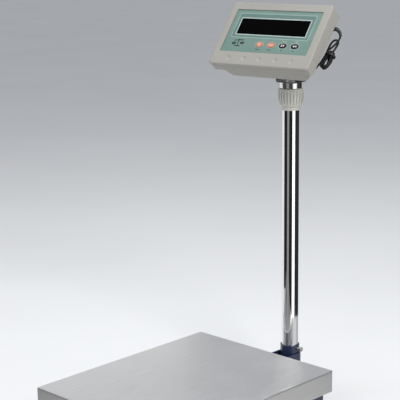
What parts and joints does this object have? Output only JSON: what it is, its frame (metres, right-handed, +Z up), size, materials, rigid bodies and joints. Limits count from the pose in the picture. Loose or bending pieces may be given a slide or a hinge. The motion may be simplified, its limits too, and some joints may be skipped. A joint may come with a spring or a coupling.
{
  "type": "animal weighing scale",
  "caption": "Floor scale for small animals: steel pan on a tube frame and load cell, with a chrome column behind it carrying a swivelling, tilting indicator with a display and keys.",
  "frame": {"origin": "on the floor, under the centre of the scale's bounding box", "axes": "+Z up; the user stands on the -Y side; +X is the user's right, so the column is at +Y"},
  "size_m": [0.4, 0.6216, 0.9092],
  "materials": {
    "brushed_pan": "fine brushed stainless sheet",
    "navy_paint": "glossy navy powder coat",
    "black_rubber": "matt",
    "black_plastic": "fine texture",
    "cable_jacket": "soft PVC jacket",
    "cell_aluminium": "machined",
    "zinc_steel": "zinc plated",
    "chrome_tube": "polished chrome plate",
    "grey_plastic": "satin moulded",
    "bracket_steel": "dark plated sheet",
    "hub_steel": "turned and polished",
    "shell_plastic": "warm grey moulded ABS, satin",
    "overlay_film": "printed teal film, satin",
    "window_acrylic": "black tinted acrylic, glossy",
    "orange_key": "orange dome",
    "black_key": "black dome",
    "circuit_board": "green solder mask",
    "digit_block": "black LED block",
    "battery_case": "moulded case"
  },
  "bodies": {
    "base": {"base_frame": "navy_paint", "base_frame_caps": "black_plastic", "stop_screws": "zinc_steel", "stop_nuts": "zinc_steel", "foot_locknuts": "zinc_steel", "load_cell": "cell_aluminium", "cell_base_spacer": "cell_aluminium", "cell_base_bolts": "zinc_steel", "column_socket": "navy_paint", "socket_bolts": "zinc_steel"},
    "platform": {"upper_frame": "navy_paint", "upper_frame_caps": "black_plastic", "pan_pads": "black_rubber", "cell_top_spacer": "cell_aluminium", "cell_top_bolts": "zinc_steel"},
    "pan": {"pan": "brushed_pan"},
    "column": {"column_tube": "chrome_tube", "column_bush": "grey_plastic"},
    "clamp_collar": {"clamp_collar": "grey_plastic"},
    "clamp_screw_upper": {"clamp_screw_upper": "zinc_steel"},
    "clamp_screw_lower": {"clamp_screw_lower": "zinc_steel"},
    "yoke": {"swivel_hub": "hub_steel", "yoke": "bracket_steel", "hub_screws": "zinc_steel", "cable_grommet": "black_rubber", "tilt_bolt": "zinc_steel", "friction_washers": "black_rubber"},
    "tilt_knob": {"tilt_knob": "black_plastic"},
    "indicator": {"front_shell": "shell_plastic", "rear_shell": "shell_plastic", "overlay": "overlay_film", "display_window": "window_acrylic", "display_board": "circuit_board", "display_digits": "digit_block", "key_board": "circuit_board", "main_board": "circuit_board", "battery": "battery_case", "power_inlet": "black_plastic", "shell_screws": "zinc_steel", "tilt_bracket": "bracket_steel", "pivot_spacer": "bracket_steel", "bracket_screws": "zinc_steel", "cable_gland": "black_plastic", "cable_boot": "black_plastic", "cable_out": "cable_jacket", "cable_back": "cable_jacket", "cable_hank": "cable_jacket", "cable_tie": "black_plastic"},
    "foot_1": {"foot_pad_1": "black_rubber"},
    "foot_stud_1": {"foot_stud_1": "zinc_steel"},
    "key_1": {"key_1": "orange_key"},
    "foot_2": {"foot_pad_2": "black_rubber"},
    "foot_stud_2": {"foot_stud_2": "zinc_steel"},
    "key_2": {"key_2": "orange_key"},
    "foot_3": {"foot_pad_3": "black_rubber"},
    "foot_stud_3": {"foot_stud_3": "zinc_steel"},
    "key_3": {"key_3": "black_key"},
    "foot_4": {"foot_pad_4": "black_rubber"},
    "foot_stud_4": {"foot_stud_4": "zinc_steel"},
    "key_4": {"key_4": "black_key"}
  },
  "joints": [
    {"name": "platform_deflection", "type": "slide", "parent": "base", "child": "platform", "axis": [0, 0, 1], "range_m": [-0.0006, 0], "stiffness_N_per_m": 100000, "springref_m": 0.001, "deforming": ["load_cell"]},
    {"name": "pan_lift", "type": "slide", "parent": "platform", "child": "pan", "axis": [0, 0, 1], "range_m": [0, 0.12]},
    {"name": "column_lift", "type": "slide", "parent": "base", "child": "column", "axis": [0, 0, 1], "range_m": [0, 0.05]},
    {"name": "clamp_screw_upper_turn", "type": "hinge", "parent": "base", "child": "clamp_screw_upper", "pos_m": [0.0315, 0.28225, 0.115], "axis": [1, 0, 0], "range_deg": [0, 360]},
    {"name": "clamp_screw_lower_turn", "type": "hinge", "parent": "base", "child": "clamp_screw_lower", "pos_m": [0.0315, 0.28225, 0.066], "axis": [1, 0, 0], "range_deg": [0, 360]},
    {"name": "clamp_collar_turn", "type": "hinge", "parent": "column", "child": "clamp_collar", "pos_m": [0, 0.28225, 0.7], "axis": [0, 0, 1], "range_deg": [0, 120]},
    {"name": "head_swivel", "type": "hinge", "parent": "column", "child": "yoke", "pos_m": [0, 0.28225, 0.73], "axis": [0, 0, 1], "range_deg": [-175, 165]},
    {"name": "head_tilt", "type": "hinge", "parent": "yoke", "child": "indicator", "pos_m": [0.00111, 0.2703, 0.785], "axis": [0.9957, 0.0924, 0], "range_deg": [-28, 36]},
    {"name": "tilt_knob_turn", "type": "hinge", "parent": "yoke", "child": "tilt_knob", "pos_m": [0.03596, 0.27353, 0.785], "axis": [0.9957, 0.0924, 0], "range_deg": [0, 360]},
    {"name": "foot_height_1", "type": "slide", "parent": "base", "child": "foot_1", "axis": [0, 0, 1], "range_m": [-0.012, 0.0035]},
    {"name": "foot_stud_turn_1", "type": "hinge", "parent": "foot_1", "child": "foot_stud_1", "pos_m": [-0.163, -0.27075, 0.03], "axis": [0, 0, 1], "range_deg": [-2900, 860]},
    {"name": "foot_height_2", "type": "slide", "parent": "base", "child": "foot_2", "axis": [0, 0, 1], "range_m": [-0.012, 0.0035]},
    {"name": "foot_stud_turn_2", "type": "hinge", "parent": "foot_2", "child": "foot_stud_2", "pos_m": [-0.163, 0.14925, 0.03], "axis": [0, 0, 1], "range_deg": [-2900, 860]},
    {"name": "foot_height_3", "type": "slide", "parent": "base", "child": "foot_3", "axis": [0, 0, 1], "range_m": [-0.012, 0.0035]},
    {"name": "foot_stud_turn_3", "type": "hinge", "parent": "foot_3", "child": "foot_stud_3", "pos_m": [0.163, -0.27075, 0.03], "axis": [0, 0, 1], "range_deg": [-2900, 860]},
    {"name": "foot_height_4", "type": "slide", "parent": "base", "child": "foot_4", "axis": [0, 0, 1], "range_m": [-0.012, 0.0035]},
    {"name": "foot_stud_turn_4", "type": "hinge", "parent": "foot_4", "child": "foot_stud_4", "pos_m": [0.163, 0.14925, 0.03], "axis": [0, 0, 1], "range_deg": [-2900, 860]},
    {"name": "key_1_press", "type": "slide", "parent": "indicator", "child": "key_1", "axis": [-0.0723, 0.7793, -0.6225], "range_m": [0, 0.0005], "stiffness_N_per_m": 3000, "springref_m": -0.0002},
    {"name": "key_2_press", "type": "slide", "parent": "indicator", "child": "key_2", "axis": [-0.0723, 0.7793, -0.6225], "range_m": [0, 0.0005], "stiffness_N_per_m": 3000, "springref_m": -0.0002},
    {"name": "key_3_press", "type": "slide", "parent": "indicator", "child": "key_3", "axis": [-0.0723, 0.7793, -0.6225], "range_m": [0, 0.0005], "stiffness_N_per_m": 3000, "springref_m": -0.0002},
    {"name": "key_4_press", "type": "slide", "parent": "indicator", "child": "key_4", "axis": [-0.0723, 0.7793, -0.6225], "range_m": [0, 0.0005], "stiffness_N_per_m": 3000, "springref_m": -0.0002}
  ],
  "couplings": [
    {"joint": "foot_stud_turn_1", "follows": "foot_height_1", "rad_per_m": 4188.8},
    {"joint": "foot_stud_turn_2", "follows": "foot_height_2", "rad_per_m": 4188.8},
    {"joint": "foot_stud_turn_3", "follows": "foot_height_3", "rad_per_m": 4188.8},
    {"joint": "foot_stud_turn_4", "follows": "foot_height_4", "rad_per_m": 4188.8}
  ]
}
